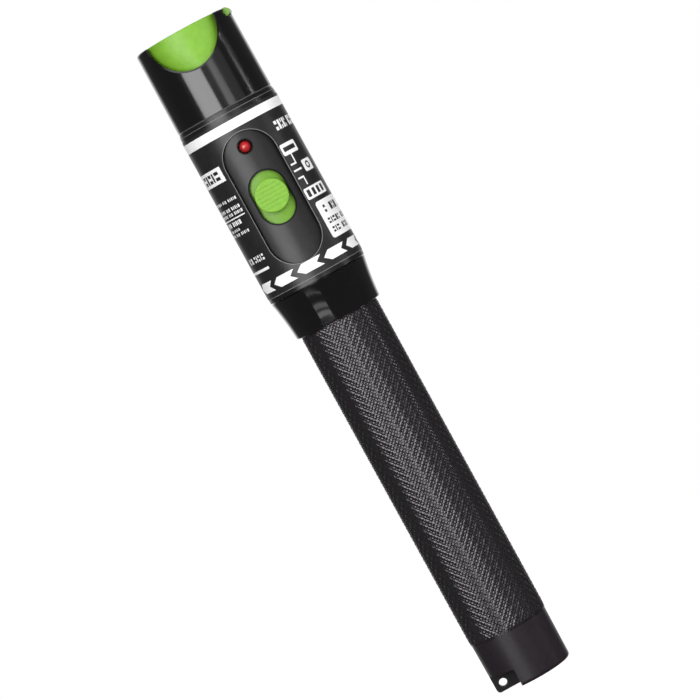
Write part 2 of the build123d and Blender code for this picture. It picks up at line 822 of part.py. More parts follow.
pieces = {
    "tail_cap": tail_cap(),
    "tail_contact": tail_contact(),
    "tail_spring": tail_spring(),
    "cell_lower": cell(cell_z),
    "cell_upper": cell(cell_z + cell_length),
    "grip_tube": grip_tube(),
    "collar": collar(),
    "seal_ring": seal_ring(),
    "body_shell": body_shell(),
    "thread_insert": thread_insert(),
    "wrap_label": wrap_label(),
    "switch_panel": switch_panel(),
    "switch_button": switch_button(),
    "switch_lever": switch_lever(),
    "switch_case": switch_case(),
    "indicator_lamp": indicator_lamp(),
    "circuit_board": circuit_board(),
    "board_screws": board_screws(),
    "driver_chip": driver_chip(),
    "carrier": carrier(),
    "contact_insulator": contact_insulator(),
    "front_contact": front_contact(),
    "ground_ring": ground_ring(),
    "laser_housing": laser_housing(),
    "laser_diode": laser_diode(),
    "focus_lens": focus_lens(),
    "lens_ring": lens_ring(),
    "ferrule_port": ferrule_port(),
    "ceramic_sleeve": ceramic_sleeve(),
    "port_nut": port_nut(),
    "nose_shell": nose_shell(),
    "dust_cap": dust_cap(),
    "hinge_pin": hinge_pin(),
}

os.makedirs("parts", exist_ok=True)
for name, piece in pieces.items():
    export_step(piece, "parts/" + name + ".step")
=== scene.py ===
from math import asin, cos, degrees, pi, radians, sin

import bmesh
import bpy
from mathutils import Matrix, Vector
from mathutils.geometry import delaunay_2d_cdt


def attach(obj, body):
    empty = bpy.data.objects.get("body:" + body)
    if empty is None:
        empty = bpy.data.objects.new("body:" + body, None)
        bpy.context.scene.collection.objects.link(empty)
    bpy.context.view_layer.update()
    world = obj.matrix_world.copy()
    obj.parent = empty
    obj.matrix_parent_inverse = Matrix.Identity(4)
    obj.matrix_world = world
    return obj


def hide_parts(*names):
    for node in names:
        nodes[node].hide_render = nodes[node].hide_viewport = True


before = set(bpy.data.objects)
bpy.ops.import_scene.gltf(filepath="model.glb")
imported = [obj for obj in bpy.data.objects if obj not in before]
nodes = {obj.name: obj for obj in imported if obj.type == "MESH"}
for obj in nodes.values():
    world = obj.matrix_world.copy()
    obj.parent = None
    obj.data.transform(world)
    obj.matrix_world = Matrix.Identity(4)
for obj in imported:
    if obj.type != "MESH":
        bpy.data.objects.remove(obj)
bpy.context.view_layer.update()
MM = 0.001


# Studio: a white ground under the pen, a large soft box at the front left, smaller ones at the
# right, above and low in front, and a dim room. The camera stands off with a long lens and is
# rolled, so that the pen lies from the upper left to the lower right.
camera_place = Vector((-1.36, -890, 129.35)) * MM
camera_aim = Vector((-1.36, 0, 89.35)) * MM
camera_roll = radians(28.776)
camera = bpy.data.objects.new("camera", bpy.data.cameras.new("camera"))
camera.data.sensor_width = 36
camera.data.lens = 192
forward = (camera_aim - camera_place).normalized()
right = Vector((cos(camera_roll), 0, -sin(camera_roll)))
right = (right - forward * right.dot(forward)).normalized()
camera.matrix_world = Matrix((right, right.cross(forward), -forward)).transposed().to_4x4()
camera.location = camera_place
bpy.context.scene.collection.objects.link(camera)
bpy.context.scene.camera = camera
bpy.context.scene.view_settings.view_transform = "Standard"


def soft_box(name, azimuth, elevation, distance, width, height, radiance, mirrored=True):
    """A rectangular lamp facing the middle of the pen. Azimuth 0 is the camera's side, 90 is +X.
    A wash is not mirrored: it only lifts the colours."""
    lamp = bpy.data.lights.new(name, "AREA")
    lamp.shape = "RECTANGLE"
    lamp.size = width
    lamp.size_y = height
    lamp.energy = radiance * pi * width * height
    holder = bpy.data.objects.new(name, lamp)
    a, e = radians(azimuth), radians(elevation)
    away = Vector((sin(a) * cos(e), -cos(a) * cos(e), sin(e)))
    holder.location = Vector((0, 0, 0.1)) + away * distance
    holder.rotation_euler = away.to_track_quat("Z", "Y").to_euler()
    holder.visible_camera = False
    holder.visible_glossy = mirrored
    bpy.context.scene.collection.objects.link(holder)


soft_box("key_box", -24, 14, 1.0, 0.78, 0.9, 4.6)
soft_box("fill_box", 21, 13, 1.0, 0.26, 0.7, 1.5)
soft_box("dim_box", 30, 13, 1.02, 0.95, 0.7, 0.3)
soft_box("side_strip", 76, -0.9, 1.0, 0.05, 0.2, 14)
soft_box("top_box", 0, 80, 1.0, 0.5, 0.5, 1.3)
soft_box("wash_right", 58, 15, 1.0, 1.0, 1.0, 2.3, mirrored=False)
soft_box("wash_left", -80, 10, 1.0, 0.7, 1.0, 0.4, mirrored=False)
for low_name, low_z, low_height, low_radiance in (
    ("tail_glint", -0.128, 0.035, 1.7), ("glint_a", -0.180, 0.034, 1.25),
    ("glint_b", -0.262, 0.014, 0.9), ("glint_c", -0.342, 0.03, 1.1),
):
    soft_box(low_name, -25, degrees(asin(low_z - 0.1)), 1.0, 0.56, low_height, low_radiance)


def wire(tree, source, target):
    tree.links.new(source, target)


def add(tree, kind, settings=(), **values):
    """A shader node with its settings, and its input sockets set by name or linked."""
    node = tree.nodes.new("ShaderNode" + kind)
    for key, value in dict(settings).items():
        setattr(node, key, value)
    for key, value in values.items():
        socket = node.inputs[int(key[1:])] if key[0] == "_" else node.inputs[key.replace("_", " ")]
        if isinstance(value, bpy.types.NodeSocket):
            tree.links.new(value, socket)
        else:
            socket.default_value = value
    return node


world = bpy.data.worlds.new("room")
bpy.context.scene.world = world
world.use_nodes = True
room = world.node_tree
room.nodes.clear()
room_front = 0.09
room_back = 1.0
room_side = add(room, "SeparateXYZ", Vector=add(room, "TexCoord").outputs["Generated"])
room_tone = add(room, "MapRange", {"interpolation_type": "SMOOTHSTEP"}, Value=room_side.outputs["Y"])
room_tone.inputs["From Min"].default_value = 0.75
room_tone.inputs["From Max"].default_value = 0.95
room_tone.inputs["To Min"].default_value = room_front
room_tone.inputs["To Max"].default_value = room_back
room_light = add(room, "Background", Color=room_tone.outputs["Result"])
room_seen = add(room, "Background", Color=(1, 1, 1, 1))
room_path = add(room, "LightPath")
room_mix = add(room, "MixShader", _0=room_path.outputs["Is Camera Ray"])
wire(room, room_light.outputs[0], room_mix.inputs[1])
wire(room, room_seen.outputs[0], room_mix.inputs[2])
wire(room, room_mix.outputs[0], add(room, "OutputWorld").inputs["Surface"])

ground_mesh = bpy.data.meshes.new("ground")
ground_form = bmesh.new()
bmesh.ops.create_circle(ground_form, cap_ends=True, radius=0.16, segments=96)
ground_form.to_mesh(ground_mesh)
ground = bpy.data.objects.new("ground", ground_mesh)
bpy.context.scene.collection.objects.link(ground)
ground_paint = bpy.data.materials.new("ground_white")
ground_paint.use_nodes = True
tree = ground_paint.node_tree
tree.nodes.clear()
ground_matte = add(tree, "BsdfDiffuse", Color=(0.8, 0.8, 0.8, 1))
ground_glow = add(tree, "Emission", Color=(1, 1, 1, 1), Strength=0.9)
ground_faint = add(tree, "BsdfDiffuse", Color=(0.35, 0.35, 0.35, 1))
ground_seen = add(tree, "AddShader", _0=ground_glow.outputs[0], _1=ground_faint.outputs[0])
ground_path = add(tree, "LightPath")
ground_mix = add(tree, "MixShader", _0=ground_path.outputs["Is Camera Ray"])
wire(tree, ground_matte.outputs[0], ground_mix.inputs[1])
wire(tree, ground_seen.outputs[0], ground_mix.inputs[2])
wire(tree, ground_mix.outputs[0], add(tree, "OutputMaterial").inputs["Surface"])
ground_mesh.materials.append(ground_paint)
ground.visible_glossy = False


# Tail cap: a satin black moulding pressed into the tube, cut away each side of a web that has the lanyard
# hole. Its fine spark texture comes from the mould, and handling has smoothed it. The web's face is painted
# darker and duller, as painted shade.
def shader_group(name, inputs, outputs):
    """An empty group with named sockets, and its input and output nodes."""
    group = bpy.data.node_groups.new(name, "ShaderNodeTree")
    for label, value in inputs.items():
        group.interface.new_socket(label, in_out="INPUT", socket_type="NodeSocketFloat").default_value = value
    for label in outputs:
        group.interface.new_socket(label, in_out="OUTPUT", socket_type="NodeSocketFloat")
    return group, group.nodes.new("NodeGroupInput").outputs, group.nodes.new("NodeGroupOutput").inputs


def mould_grain_group():
    """Spark texture of a mould: fine pits of a given size in millimetres."""
    group, given, made = shader_group("mould_grain", {"Size": 0.2}, ["Height", "Shade"])
    place = add(group, "TexCoord").outputs["Object"]
    scale = add(group, "Math", {"operation": "DIVIDE"}, _0=1000.0, _1=given["Size"])
    fine = add(group, "TexNoise", Vector=place, Scale=scale.outputs[0], Detail=2.0, Roughness=0.6)
    coarse_scale = add(group, "Math", {"operation": "MULTIPLY"}, _0=scale.outputs[0], _1=0.23)
    coarse = add(group, "TexNoise", Vector=place, Scale=coarse_scale.outputs[0], Detail=1.0)
    both = add(group, "Math", {"operation": "MULTIPLY_ADD"},
               _0=coarse.outputs["Fac"], _1=0.5, _2=fine.outputs["Fac"])
    wire(group, both.outputs[0], made["Height"])
    shade = add(group, "MapRange", Value=coarse.outputs["Fac"])
    shade.inputs["From Min"].default_value = 0.3
    shade.inputs["From Max"].default_value = 0.7
    wire(group, shade.outputs["Result"], made["Shade"])
    return group


def handling_group():
    """Smears left by fingers: soft patches a few millimetres across, drawn out along the pen."""
    group, given, made = shader_group("handling", {"Patch": 6.0}, ["Smear", "Hairline"])
    place = add(group, "TexCoord").outputs["Object"]
    scale = add(group, "Math", {"operation": "DIVIDE"}, _0=1000.0, _1=given["Patch"])
    drawn = add(group, "Mapping", Vector=place, Scale=(1.0, 1.0, 0.35))
    smear = add(group, "TexNoise", Vector=drawn.outputs[0],
                Scale=scale.outputs[0], Detail=3.0, Roughness=0.55)
    spread = add(group, "MapRange", Value=smear.outputs["Fac"])
    spread.inputs["From Min"].default_value = 0.35
    spread.inputs["From Max"].default_value = 0.7
    wire(group, spread.outputs["Result"], made["Smear"])
    turned_place = add(group, "Mapping", Vector=place, Rotation=(0.3, 0.5, 0.2), Scale=(1.0, 1.0, 0.06))
    line = add(group, "TexNoise", Vector=turned_place.outputs[0], Scale=2600.0, Detail=1.0)
    mark = add(group, "MapRange", Value=line.outputs["Fac"])
    mark.inputs["From Min"].default_value = 0.66
    mark.inputs["From Max"].default_value = 0.72
    wire(group, mark.outputs["Result"], made["Hairline"])
    return group


mould_grain = mould_grain_group()
handling = handling_group()


def blend_colour(tree, share, colour_a, colour_b):
    """The mix of two colours, each a colour or a socket."""
    mix = add(tree, "Mix", {"data_type": "RGBA"}, _0=share)
    for socket, colour in ((mix.inputs[6], colour_a), (mix.inputs[7], colour_b)):
        if isinstance(colour, bpy.types.NodeSocket):
            tree.links.new(colour, socket)
        else:
            socket.default_value = (*colour, 1)
    return mix.outputs[2]


def finish(name, colour, rough, grain_size=0.2, grain_depth=0.004, drift=0.12, smear=0.06, constants=()):
    """A finish with grain (millimetres), a slight drift of colour and smears in its gloss."""
    paint = bpy.data.materials.new(name)
    paint.use_nodes = True
    tree = paint.node_tree
    shader = tree.nodes["Principled BSDF"]
    for label, value in dict(constants).items():
        shader.inputs[label].default_value = value
    grain = add(tree, "Group", {"node_tree": mould_grain}, Size=grain_size)
    marks = add(tree, "Group", {"node_tree": handling})
    dark = [c * (1 - drift) for c in colour]
    light = [c * (1 + drift) for c in colour]
    wire(tree, blend_colour(tree, grain.outputs["Shade"], dark, light), shader.inputs["Base Color"])
    gloss = add(tree, "MapRange", Value=marks.outputs["Smear"])
    gloss.inputs["To Min"].default_value = rough
    gloss.inputs["To Max"].default_value = rough + smear
    scratched = add(tree, "Math", {"operation": "MULTIPLY_ADD"}, _0=marks.outputs["Hairline"], _1=smear)
    wire(tree, gloss.outputs["Result"], scratched.inputs[2])
    wire(tree, scratched.outputs[0], shader.inputs["Roughness"])
    relief = add(tree, "Bump", Height=grain.outputs["Height"], Distance=grain_depth * MM)
    wire(tree, relief.outputs[0], shader.inputs["Normal"])
    return paint


def dress(node_name, paint):
    """Gives a CAD node its finish."""
    for holder in nodes[node_name].material_slots:
        holder.material = paint


def reckon(tree, operation, a, b=0.0):
    """The result of one step of arithmetic on numbers or sockets."""
    return add(tree, "Math", {"operation": operation}, _0=a, _1=b).outputs[0]


def reach(tree, a, b):
    """The length of the slope over two sides at a right angle."""
    return reckon(tree, "SQRT", reckon(tree, "ADD", reckon(tree, "POWER", a, 2), reckon(tree, "POWER", b, 2)))


def place_mm(tree):
    """The object's own X, Y and Z in millimetres."""
    place = add(tree, "TexCoord").outputs["Object"]
    scaled = add(tree, "VectorMath", {"operation": "SCALE"}, _0=place, Scale=1000.0)
    return add(tree, "SeparateXYZ", Vector=scaled.outputs[0]).outputs


def fade(tree, value, full, none):
    """A mask that is 1 where the value is at full and 0 where it is at none."""
    mask = add(tree, "MapRange", Value=value)
    mask.inputs["From Min"].default_value = none
    mask.inputs["From Max"].default_value = full
    return mask.outputs["Result"]


def tint(paint, mask, amount, colour=(0, 0, 0)):
    """Blends a finish towards a colour under a mask, and roughens it where that is black."""
    tree = paint.node_tree
    shader = tree.nodes["Principled BSDF"]
    share = reckon(tree, "MULTIPLY", mask, amount)
    below = shader.inputs["Base Color"].links[0].from_socket
    wire(tree, blend_colour(tree, share, below, colour), shader.inputs["Base Color"])
    if sum(colour) == 0:
        gloss = shader.inputs["Roughness"].links[0].from_socket
        dull = reckon(tree, "MAXIMUM", gloss, reckon(tree, "MULTIPLY", share, 0.7))
        wire(tree, dull, shader.inputs["Roughness"])


tail_black = finish("tail_black", (0.0155, 0.0115, 0.0155), 0.33, 0.25, 0.004,
                    constants={"Specular IOR Level": 0.33})
web_half, web_edge, web_top = 1.2, -3.82, 4.6
tree = tail_black.node_tree
x, y, z = place_mm(tree)
in_thickness = fade(tree, reckon(tree, "ABSOLUTE", y), web_half, web_half + 0.1)
past_edge = fade(tree, x, web_edge, web_edge + 0.07)
below_top = fade(tree, z, web_top, web_top + 0.05)
web_shade = reckon(tree, "MULTIPLY", reckon(tree, "MULTIPLY", in_thickness, past_edge), below_top)
# Painted shade: the web's face is blended towards black and made duller.
tint(tail_black, web_shade, 0.8)
dress("tail_cap", tail_black)


# Tail contact and spring: a nickel-plated plate on the tail's floor, and the wound wire spring
# that presses the cells towards the nose.
plated_contact = finish("plated_contact", (0.72, 0.70, 0.64), 0.24, 0.4, 0.002, constants={"Metallic": 1.0})
spring_steel = finish("spring_steel", (0.56, 0.56, 0.57), 0.28, 0.15, 0.003, constants={"Metallic": 1.0})
dress("tail_contact", plated_contact)
dress("tail_spring", spring_steel)


# Two cells: plain steel cans in a shrunk sleeve, end to end in the tube, with the spring under
# them and the front contact over them.
cell_jacket = finish("cell_jacket", (0.2, 0.22, 0.25), 0.3, 0.3, 0.002, constants={"Metallic": 0.3})
dress("cell_lower", cell_jacket)
dress("cell_upper", cell_jacket)


# Grip tube: aluminium, turned, diamond knurled between tail and collar, and black anodised. The
# knurl is a coarse and a fine set of small four-sided crests. Round the neck winds the ridge of the
# thread that the head screws on.
grip_low, grip_high = 13.1, 97.5
grip_r = 10.1
knurl_depth = 0.14
knurl_round = 31
knurl_width = 2 * pi * grip_r / knurl_round
knurl_height = knurl_width * 1.03
knurl_land = 0.25
neck_r, neck_high = 9.3, 113.6
groove_low, groove_high, groove_r = 108.6, 110.2, 8.3
tube_bore_r = 7.5


def place_mesh(name, mesh, paints, body, slot, *replaced):
    """Puts a finished mesh on a body, with its materials, and hides the nodes it stands for. The slot is not
    used.
    """
    piece = bpy.data.objects.new(name, mesh)
    bpy.context.scene.collection.objects.link(piece)
    zones = [face.material_index for face in mesh.polygons]
    mesh.materials.clear()
    for paint in paints:
        mesh.materials.append(paint)
    mesh.polygons.foreach_set("material_index", zones)
    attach(piece, body)
    if replaced:
        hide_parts(*replaced)


def turned(name, profile, segments=192, sharp=25):
    """A mesh turned about Z from a closed list of (radius, height) in millimetres."""
    form = bmesh.new()
    rings = []
    angles = [2 * pi * k / segments for k in range(segments)]
    for r, z in profile:
        if r < 1e-6:
            rings.append([form.verts.new((0, 0, z * MM))] * segments)
            continue
        rings.append([form.verts.new((r * sin(a) * MM, -r * cos(a) * MM, z * MM)) for a in angles])
    for ring_a, ring_b in zip(rings, rings[1:] + rings[:1]):
        for k in range(segments):
            corners = [ring_a[k], ring_a[(k + 1) % segments], ring_b[(k + 1) % segments], ring_b[k]]
            distinct = list(dict.fromkeys(corners))
            if len(distinct) > 2:
                form.faces.new(distinct)
    bmesh.ops.recalc_face_normals(form, faces=form.faces)
    mesh = bpy.data.meshes.new(name)
    form.to_mesh(mesh)
    form.free()
    mesh.polygons.foreach_set("use_smooth", [True] * len(mesh.polygons))
    mesh.set_sharp_from_angle(angle=radians(sharp))
    return mesh


def knurl_tree():
    """Geometry nodes that set crests in two offset lattices round a tube."""
    tree = bpy.data.node_groups.new("knurl", "GeometryNodeTree")
    sockets = {}
    for label, kind in (
        ("Radius", "Float"), ("Low", "Float"), ("Width", "Float"), ("Height", "Float"),
        ("Round", "Int"), ("Rows", "Int"), ("Size", "Float"), ("Crest", "Float"), ("Depth", "Float"),
        ("Finish", "Material"),
    ):
        socket = tree.interface.new_socket(label, in_out="INPUT", socket_type="NodeSocket" + kind)
        sockets[label] = socket.identifier
    tree.interface.new_socket("Geometry", in_out="OUTPUT", socket_type="NodeSocketGeometry")
    given = tree.nodes.new("NodeGroupInput").outputs

    def geo(kind, settings=(), **links):
        node = tree.nodes.new(kind)
        for key, value in dict(settings).items():
            setattr(node, key, value)
        for key, value in links.items():
            socket = node.inputs[int(key[1:])] if key[0] == "_" else node.inputs[key.replace("_", " ")]
            if isinstance(value, bpy.types.NodeSocket):
                tree.links.new(value, socket)
            else:
                socket.default_value = value
        return node

    def calc(operation, a, b):
        return geo("ShaderNodeMath", {"operation": operation}, _0=a, _1=b).outputs[0]

    crest = geo("GeometryNodeMeshCone", _0=4,
                Radius_Top=given["Crest"], Radius_Bottom=1.0, Depth=given["Depth"])
    half_size = calc("MULTIPLY", given["Size"], 0.5)
    half = geo("ShaderNodeCombineXYZ", _0=calc("MULTIPLY", given["Width"], half_size),
               _1=calc("MULTIPLY", given["Height"], half_size), _2=1.0)
    crest = geo("GeometryNodeTransform", Geometry=crest.outputs["Mesh"], Scale=half.outputs[0])
    lattices = geo("GeometryNodeJoinGeometry")
    for shift in (0.0, 0.5):
        span_x = calc("MULTIPLY", given["Width"], calc("SUBTRACT", given["Round"], 1))
        span_y = calc("MULTIPLY", given["Height"], calc("SUBTRACT", given["Rows"], 1))
        grid = geo("GeometryNodeMeshGrid", Size_X=span_x, Size_Y=span_y,
                   Vertices_X=given["Round"], Vertices_Y=given["Rows"])
        lift = calc("ADD", given["Low"], calc("MULTIPLY", span_y, 0.5))
        move = geo("ShaderNodeCombineXYZ", _0=calc("MULTIPLY", given["Width"], shift),
                   _1=calc("ADD", lift, calc("MULTIPLY", given["Height"], 0.5 + shift)))
        moved = geo("GeometryNodeTransform", Geometry=grid.outputs["Mesh"], Translation=move.outputs[0])
        tree.links.new(moved.outputs[0], lattices.inputs[0])
    flat = geo("ShaderNodeSeparateXYZ", Vector=geo("GeometryNodeInputPosition").outputs[0])
    angle = calc("DIVIDE", flat.outputs[0], given["Radius"])
    sine = geo("ShaderNodeMath", {"operation": "SINE"}, _0=angle).outputs[0]
    cosine = geo("ShaderNodeMath", {"operation": "COSINE"}, _0=angle).outputs[0]
    bent = geo("ShaderNodeCombineXYZ", _0=calc("MULTIPLY", given["Radius"], sine),
               _1=calc("MULTIPLY", calc("MULTIPLY", given["Radius"], -1), cosine), _2=flat.outputs[1])
    turn = geo("ShaderNodeCombineXYZ", _0=pi / 2, _2=angle)
    kept = geo("GeometryNodeCaptureAttribute", Geometry=lattices.outputs[0])
    kept.capture_items.new("VECTOR", "turn")
    tree.links.new(turn.outputs[0], kept.inputs[1])
    set_places = geo("GeometryNodeSetPosition", Geometry=kept.outputs[0], Position=bent.outputs[0])
    crests = geo("GeometryNodeInstanceOnPoints", Points=set_places.outputs[0],
                 Instance=crest.outputs[0], Rotation=kept.outputs[1])
    real = geo("GeometryNodeRealizeInstances", Geometry=crests.outputs[0])
    done = geo("GeometryNodeSetMaterial", Geometry=real.outputs[0], Material=given["Finish"])
    tree.links.new(done.outputs[0], tree.nodes.new("NodeGroupOutput").inputs[0])
    return tree, sockets


def grown(name, tree, sockets, values):
    """The plain mesh that a geometry node tree makes from these values."""
    seed = bpy.data.objects.new(name + "_seed", bpy.data.meshes.new(name + "_seed"))
    bpy.context.scene.collection.objects.link(seed)
    modifier = seed.modifiers.new(name, "NODES")
    modifier.node_group = tree
    for label, value in values.items():
        modifier[sockets[label]] = value
    made = seed.evaluated_get(bpy.context.evaluated_depsgraph_get())
    mesh = bpy.data.meshes.new_from_object(made)
    mesh.name = name
    seed.modifiers.remove(modifier)
    bpy.data.objects.remove(seed)
    return mesh


grip_black = finish("grip_black", (0.072, 0.066, 0.071), 0.17, 0.12, 0.003,
                    constants={"Metallic": 0.85, "Specular IOR Level": 0.6})
knurl_rows = int((grip_high - grip_low - 2 * knurl_land) / knurl_height - 0.5)
knurl_height = (grip_high - grip_low - 2 * knurl_land) / (knurl_rows + 0.5)
knurl, knurl_sockets = knurl_tree()


def knurl_crests(name, share, depth, size, crest):
    """One set of crests: share 1 is the coarse set, 2 is the set at half its pitch."""
    return grown(name, knurl, knurl_sockets, {
        "Radius": (grip_r - knurl_depth + depth / 2) * MM,
        "Low": (grip_low + knurl_land) * MM,
        "Width": knurl_width / share * MM,
        "Height": knurl_height / share * MM,
        "Round": knurl_round * share,
        "Rows": knurl_rows * share + share - 1,
        "Size": size,
        "Crest": crest,
        "Depth": depth * MM,
        "Finish": grip_black,
    })


knurl_mesh = knurl_crests("grip_knurl", 1, knurl_depth, 0.7, 0.4)
fine_mesh = knurl_crests("grip_knurl_fine", 2, knurl_depth * 0.6, 1.0, 0.4)
groove_floor_r = grip_r - knurl_depth
thread_low, thread_high = 110.45, 113.4
thread_root_r, thread_pitch = 8.9, 1.25


def thread_mesh(name, root_r, crest_r, low, high, pitch, steps=96):
    """A right-hand thread's ridge, which rises from its root over the first and last quarter turn."""
    form = bmesh.new()
    rings = []
    foot, tip = 0.3, 0.08
    last = round((high - low - 2 * foot * pitch) / pitch * steps)
    for k in range(last + 1):
        a = 2 * pi * k / steps
        middle = low + foot * pitch + pitch * k / steps
        rise = min(1, 4 * k / steps, 4 * (last - k) / steps)
        tip_r = root_r + (crest_r - root_r) * max(rise, 0.05)
        rings.append([
            form.verts.new((r * sin(a) * MM, -r * cos(a) * MM, (middle + offset * pitch) * MM))
            for r, offset in ((root_r - 0.05, -foot), (tip_r, -tip), (tip_r, tip), (root_r - 0.05, foot))
        ])
    for ring_a, ring_b in zip(rings, rings[1:]):
        for k in range(4):
            form.faces.new((ring_a[k], ring_a[(k + 1) % 4], ring_b[(k + 1) % 4], ring_b[k]))
    form.faces.new(rings[0])
    form.faces.new(rings[-1])
    bmesh.ops.recalc_face_normals(form, faces=form.faces)
    mesh = bpy.data.meshes.new(name)
    form.to_mesh(mesh)
    form.free()
    mesh.polygons.foreach_set("use_smooth", [True] * len(mesh.polygons))
    mesh.set_sharp_from_angle(angle=radians(25))
    return mesh


grip_mesh = turned("grip_tube_body", [
    (tube_bore_r, grip_low), (grip_r - 0.15, grip_low), (grip_r, grip_low + 0.12),
    (grip_r, grip_low + knurl_land),
    (groove_floor_r, grip_low + knurl_land + 0.1), (groove_floor_r, grip_high),
    (neck_r, grip_high), (neck_r, groove_low), (groove_r, groove_low), (groove_r, groove_high),
    (neck_r, groove_high), (neck_r, thread_low), (thread_root_r, thread_low + 0.2),
    (thread_root_r, thread_high), (thread_root_r - 0.2, neck_high), (tube_bore_r, neck_high),
])
place_mesh("grip_tube_body", grip_mesh, [grip_black], "barrel", "grip_black", "grip_tube")
neck_thread = thread_mesh("neck_thread", thread_root_r, neck_r, thread_low + 0.1, thread_high, thread_pitch)
place_mesh("neck_thread", neck_thread, [grip_black], "barrel", "grip_black")
place_mesh("grip_knurl", knurl_mesh, [grip_black], "barrel", "grip_black")
place_mesh("grip_knurl_fine", fine_mesh, [grip_black], "barrel", "grip_black")


# Collar: a gloss black bell pressed over the tube's neck, which carries the line of the grip up
# to the wider head. It is moulded and polished.
gloss_black = finish("gloss_black", (0.003, 0.0028, 0.003), 0.045, 0.5, 0.0005, smear=0.035,
                     constants={"IOR": 1.6, "Coat Weight": 0.35, "Coat Roughness": 0.04})
dress("collar", gloss_black)


# Seal ring: a moulded rubber ring in the neck's groove. It keeps dust out of the thread, and it
# gives the head its drag when the head is turned.
seal_rubber = finish("seal_rubber", (0.02, 0.02, 0.02), 0.42, 0.1, 0.004)
dress("seal_ring", seal_rubber)


# Thread insert: a turned brass ring, pressed into the foot of the body shell. It takes the
# thread of the tube's neck.
insert_brass = finish("insert_brass", (0.62, 0.44, 0.18), 0.3, 0.3, 0.003, constants={"Metallic": 1.0})
dress("thread_insert", insert_brass)


# Body shell: the satin black moulded tube of the head, with a stepped pocket for the switch panel. A fine
# grey line is painted where its shoulder meets the nose, as a painted highlight on the shoulder's edge.
shell_black = finish("shell_black", (0.0065, 0.006, 0.0065), 0.25, 0.3, 0.002)
shoulder_line = 152.58
tree = shell_black.node_tree
from_line = reckon(tree, "ABSOLUTE", reckon(tree, "SUBTRACT", place_mm(tree)[2], shoulder_line))
# Painted highlight: a thin grey band along the shoulder's edge.
tint(shell_black, fade(tree, from_line, 0.05, 0.1), 0.6, (0.2, 0.2, 0.2))
dress("body_shell", shell_black)


# Wrap label: printed film round the shell, cut out round the switch panel. White ink on black
# film: plain plates and bars, arrows that show which way to turn, and by the switch a long bar for
# steady light, a ring for off and four blocks for flashing light.
label_low, label_high = 109.1, 151.6
label_r = 12.77
label_thick = 0.1
panel_length, panel_width, panel_centre = 34.2, 13.4, 130.3
FILM, INK, EDGE = 0, 1, 2


def arc_points(centre_u, centre_v, radius, start, end, steps):
    """Points on a round stretch of an outline, from one angle to another in degrees."""
    return [
        (centre_u + radius * cos(radians(start + (end - start) * k / steps)),
         centre_v + radius * sin(radians(start + (end - start) * k / steps)))
        for k in range(steps + 1)
    ]


def rounded_box(low_u, high_u, low_v, high_v, radius=0.0, steps=5):
    """A rectangle with rounded corners, as an outline."""
    if radius == 0:
        return [(low_u, low_v), (high_u, low_v), (high_u, high_v), (low_u, high_v)]
    corners = (
        (high_u - radius, high_v - radius, 0), (low_u + radius, high_v - radius, 90),
        (low_u + radius, low_v + radius, 180), (high_u - radius, low_v + radius, 270),
    )
    return [p for u, v, start in corners for p in arc_points(u, v, radius, start, start + 90, steps)]


def stadium(length, width, centre, grow=0.0, steps=24):
    """The upright stadium outline of the panel and its slot, grown by a margin."""
    half = width / 2 + grow
    run = length / 2 - width / 2
    upper = arc_points(0, centre + run, half, 0, 180, steps)
    return upper + arc_points(0, centre - run, half, 180, 360, steps)


def wrapped(name, sheet, cuts, inks, radius, step=3.0):
    """A sheet laid round the pen: outlines are (millimetres along the arc, height), cuts are left out,
    and each ink is an outline with the index of its material, later ones on top."""
    outlines = [sheet] + cuts + [outline for outline, _ in inks]
    points, edges, faces = [], [], []
    for outline in outlines:
        first = len(points)
        area = sum(a[0] * b[1] - b[0] * a[1] for a, b in zip(outline, outline[1:] + outline[:1]))
        points += [Vector(p) for p in (outline if area > 0 else reversed(outline))]
        faces.append(list(range(first, len(points))))
    low_u, high_u = min(p[0] for p in sheet), max(p[0] for p in sheet)
    low_v, high_v = min(p[1] for p in sheet), max(p[1] for p in sheet)
    spacing = radians(step) * radius
    for k in range(1, round((high_u - low_u) / spacing)):
        u = low_u + (high_u - low_u) * k / round((high_u - low_u) / spacing)
        edges.append((len(points), len(points) + 1))
        points += [Vector((u, low_v)), Vector((u, high_v))]
    found, _, triangles, _, _, owners = delaunay_2d_cdt(points, edges, faces, 1, 1e-5)
    form = bmesh.new()
    corners = [
        form.verts.new((radius * sin(p.x / radius) * MM, -radius * cos(p.x / radius) * MM, p.y * MM))
        for p in found
    ]
    for triangle, owner in zip(triangles, owners):
        if 0 not in owner or any(1 <= k <= len(cuts) for k in owner):
            continue
        face = form.faces.new([corners[k] for k in triangle])
        printed = [k for k in owner if k > len(cuts)]
        face.material_index = inks[max(printed) - len(cuts) - 1][1] if printed else FILM
        face.smooth = True
    bmesh.ops.delete(form, geom=[v for v in form.verts if not v.link_faces], context="VERTS")
    bmesh.ops.remove_doubles(form, verts=form.verts, dist=0.002 * MM)
    mesh = bpy.data.meshes.new(name)
    form.to_mesh(mesh)
    form.free()
    return mesh


def thicken(mesh, thickness, rim_material):
    """Gives a sheet its thickness inwards, with its own material on the cut edges."""
    holder = bpy.data.objects.new("thicken", mesh)
    bpy.context.scene.collection.objects.link(holder)
    wall = holder.modifiers.new("wall", "SOLIDIFY")
    wall.thickness = thickness * MM
    wall.offset = -1
    wall.use_even_offset = True
    wall.material_offset_rim = rim_material
    made = bpy.data.meshes.new_from_object(holder.evaluated_get(bpy.context.evaluated_depsgraph_get()))
    made.name = mesh.name
    holder.modifiers.remove(wall)
    bpy.data.objects.remove(holder)
    made.set_sharp_from_angle(angle=radians(40))
    return made


def along(angle):
    """Millimetres along the label's arc for an angle in degrees, 0 at the switch."""
    return radians(angle) * label_r


def bar(left, right, low, high, radius=0.0):
    return rounded_box(along(left), along(right), low, high, radius)


def front_outline(points, radius):
    """An outline cut straight through from the front, unrolled at a radius."""
    return [(radius * asin(x / radius), z) for x, z in points]


